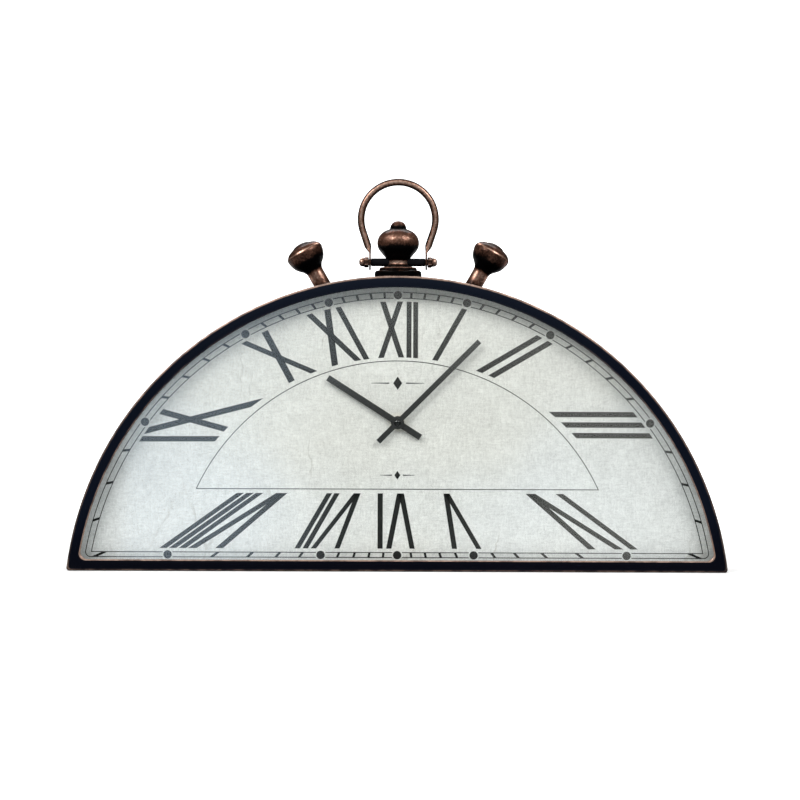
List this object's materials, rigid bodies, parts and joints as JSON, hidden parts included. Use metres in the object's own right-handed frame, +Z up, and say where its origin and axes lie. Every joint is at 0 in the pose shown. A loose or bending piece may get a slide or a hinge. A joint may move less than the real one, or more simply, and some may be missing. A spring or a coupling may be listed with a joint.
{
  "type": "mantel clock",
  "caption": "Half-round mantel clock: flat black bezel, roman bar dial behind glass, coupled hands, battery movement, crown with swinging bow, and mushroom pushers.",
  "frame": {"origin": "middle of the flat base, half-way between the bezel's front face and the case's rear edge", "axes": "+X to the right as the dial is read, +Y towards the back, +Z up"},
  "size_m": [0.4964, 0.062, 0.2979],
  "materials": {
    "black_paint": "satin blue-black paint, rubbed to copper on the edges",
    "antique_copper": "copper plating with black patina",
    "glass": "clear",
    "printed_card": "matt printed sheet with an aged look",
    "hardboard": "raw hardboard",
    "dark_aluminium": "dark lacquer",
    "steel": "zinc plated",
    "brass": "turned",
    "white_plastic": "moulded",
    "black_plastic": "moulded, fine grain",
    "rubber": "matt",
    "copper_wire": "enamelled winding",
    "circuit_card": "lacquered card",
    "battery_wrap": "plain printed wrap"
  },
  "bodies": {
    "case": {"case_shell": "black_paint", "rear_ledge": "black_paint", "front_bezel": "black_paint", "back_panel": "hardboard", "back_screw_1": "steel", "back_screw_2": "steel", "back_screw_3": "steel", "back_screw_4": "steel", "back_screw_5": "steel", "back_screw_6": "steel", "glass_pane": "glass", "dial_sheet": "printed_card", "dial_board": "hardboard", "spacer_1": "rubber", "spacer_2": "rubber", "spacer_3": "rubber", "spacer_4": "rubber", "spacer_5": "rubber", "dial_clip_1": "steel", "dial_clip_2": "steel", "dial_clip_3": "steel", "dial_clip_4": "steel", "dial_clip_5": "steel", "crown_collar": "antique_copper", "crown": "antique_copper", "crown_button": "antique_copper", "crown_screw": "steel", "pivot_bolt": "steel", "cap_nut_left": "antique_copper", "cap_nut_right": "antique_copper", "pusher_left": "antique_copper", "pusher_right": "antique_copper", "pusher_screw_left": "steel", "pusher_screw_right": "steel", "movement_case": "black_plastic", "movement_cover": "black_plastic", "centre_bush": "brass", "mounting_nut": "brass", "rubber_washer": "rubber", "stator": "steel", "coil": "copper_wire", "circuit_board": "circuit_card", "crystal": "steel", "contact_positive": "steel", "contact_negative": "steel"},
    "bow_body": {"bow": "antique_copper"},
    "minute_body": {"minute_hand": "dark_aluminium", "hand_nut": "dark_aluminium", "minute_arbor": "brass"},
    "hour_body": {"hour_hand": "dark_aluminium", "hour_wheel": "white_plastic"},
    "minute_wheel_body": {"minute_wheel": "white_plastic"},
    "set_knob_body": {"set_knob": "white_plastic"},
    "centre_wheel_body": {"centre_wheel": "brass"},
    "third_wheel_body": {"third_wheel": "white_plastic"},
    "fourth_wheel_body": {"fourth_wheel": "white_plastic"},
    "fifth_wheel_body": {"fifth_wheel": "white_plastic"},
    "rotor_body": {"rotor": "steel"},
    "battery_body": {"battery": "battery_wrap"}
  },
  "joints": [
    {"name": "bow_swing", "type": "hinge", "parent": "case", "child": "bow_body", "pos_m": [0, 0, 0.234], "axis": [1, 0, 0], "range_deg": [-105, 105]},
    {"name": "minute_turn", "type": "hinge", "parent": "case", "child": "minute_body", "pos_m": [0, -0.0153, 0.1117], "axis": [0, 1, 0], "continuous": true},
    {"name": "hour_turn", "type": "hinge", "parent": "case", "child": "hour_body", "pos_m": [0, -0.0153, 0.1117], "axis": [0, 1, 0], "continuous": true},
    {"name": "minute_wheel_turn", "type": "hinge", "parent": "case", "child": "minute_wheel_body", "pos_m": [0.00979, -0.0153, 0.11626], "axis": [0, 1, 0], "continuous": true},
    {"name": "set_knob_turn", "type": "hinge", "parent": "case", "child": "set_knob_body", "pos_m": [0.01994, -0.0153, 0.11257], "axis": [0, 1, 0], "continuous": true},
    {"name": "rotor_turn", "type": "hinge", "parent": "case", "child": "rotor_body", "pos_m": [-0.00609, -0.0153, 0.13093], "axis": [0, 1, 0], "continuous": true},
    {"name": "fifth_wheel_turn", "type": "hinge", "parent": "case", "child": "fifth_wheel_body", "pos_m": [-0.01218, -0.0153, 0.12872], "axis": [0, 1, 0], "continuous": true},
    {"name": "fourth_wheel_turn", "type": "hinge", "parent": "case", "child": "fourth_wheel_body", "pos_m": [-0.01087, -0.0153, 0.12127], "axis": [0, 1, 0], "continuous": true},
    {"name": "third_wheel_turn", "type": "hinge", "parent": "case", "child": "third_wheel_body", "pos_m": [-0.00169, -0.0153, 0.12127], "axis": [0, 1, 0], "continuous": true},
    {"name": "centre_wheel_turn", "type": "hinge", "parent": "case", "child": "centre_wheel_body", "pos_m": [0, -0.0153, 0.1117], "axis": [0, 1, 0], "continuous": true},
    {"name": "battery_out", "type": "slide", "parent": "case", "child": "battery_body", "axis": [0, 1, 0], "range_m": [0, 0.05]}
  ],
  "couplings": [
    {"joint": "hour_turn", "follows": "minute_turn", "ratio": 0.083333},
    {"joint": "minute_wheel_turn", "follows": "minute_turn", "ratio": -0.33333},
    {"joint": "set_knob_turn", "follows": "minute_turn", "ratio": 1},
    {"joint": "fifth_wheel_turn", "follows": "rotor_turn", "ratio": -0.2},
    {"joint": "fourth_wheel_turn", "follows": "rotor_turn", "ratio": 0.033333},
    {"joint": "third_wheel_turn", "follows": "rotor_turn", "ratio": -0.0044444},
    {"joint": "centre_wheel_turn", "follows": "rotor_turn", "ratio": 0.00055556}
  ]
}
